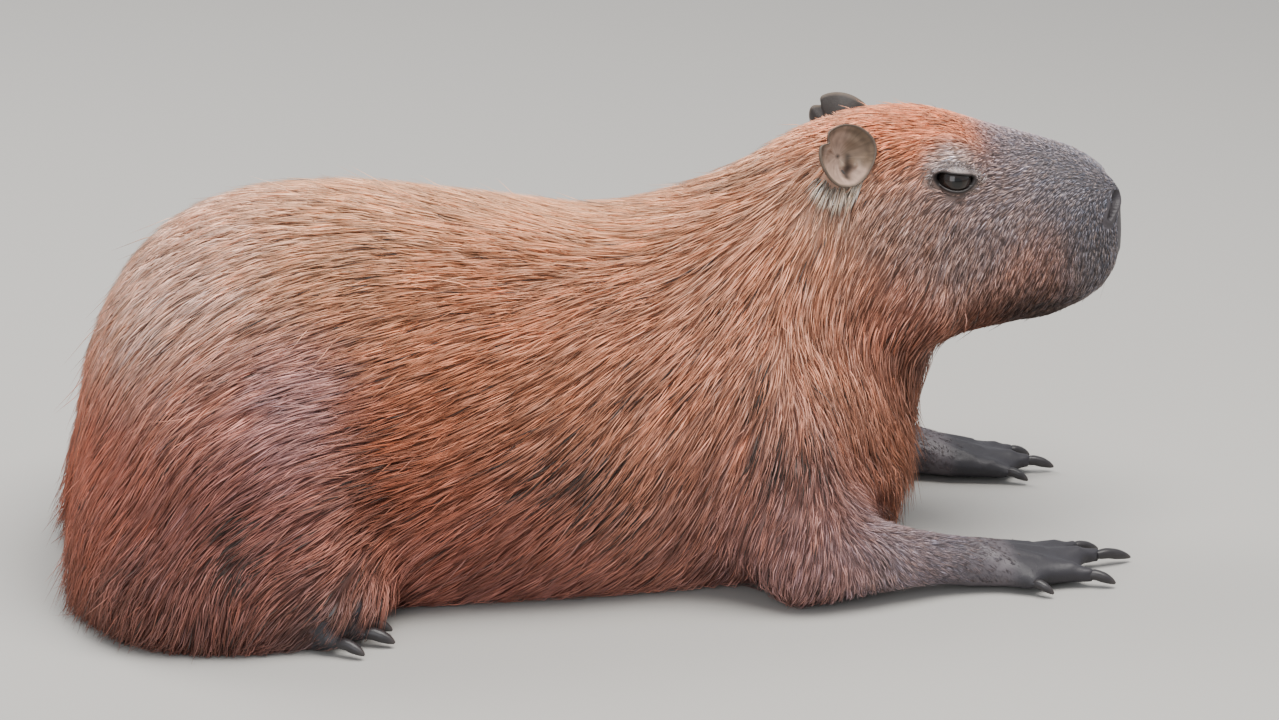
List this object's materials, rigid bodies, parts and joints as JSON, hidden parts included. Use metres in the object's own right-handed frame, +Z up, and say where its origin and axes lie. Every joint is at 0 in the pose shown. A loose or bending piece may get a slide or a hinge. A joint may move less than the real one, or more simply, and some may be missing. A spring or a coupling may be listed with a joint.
{
  "type": "capybara",
  "caption": "Life-size capybara lying on its belly with its head raised and forelegs stretched forward, coat in long coarse locks, as a still display model.",
  "frame": {"origin": "on the floor, under the middle of the animal's bounding box", "axes": "+X towards the nose, +Y to the animal's left, +Z up"},
  "size_m": [0.9044, 0.507, 0.3775],
  "materials": {
    "coat": "long coarse rust-brown hair with darker streaks",
    "face": "short grey-brown hair, rust on the crown",
    "bare_skin": "dark, nearly bare, finely creased skin",
    "ear_skin": "thin dark skin with short down",
    "eye": "wet, almost black",
    "claw": "worn dark horn"
  },
  "bodies": {
    "root": {"head": "face", "neck": "coat", "torso": "coat", "foreleg_r": "coat", "foreleg_l": "coat", "haunch_r": "coat", "haunch_l": "coat", "forefoot_r": "bare_skin", "forefoot_l": "bare_skin", "hindfoot_r": "bare_skin", "hindfoot_l": "bare_skin", "ear_r": "ear_skin", "ear_l": "ear_skin", "eye_r": "eye", "eye_l": "eye", "forefoot_r_claw_1": "claw", "forefoot_r_claw_2": "claw", "forefoot_r_claw_3": "claw", "forefoot_r_claw_4": "claw", "forefoot_l_claw_1": "claw", "forefoot_l_claw_2": "claw", "forefoot_l_claw_3": "claw", "forefoot_l_claw_4": "claw", "hindfoot_r_claw_1": "claw", "hindfoot_r_claw_2": "claw", "hindfoot_r_claw_3": "claw", "hindfoot_l_claw_1": "claw", "hindfoot_l_claw_2": "claw", "hindfoot_l_claw_3": "claw"}
  },
  "joints": []
}
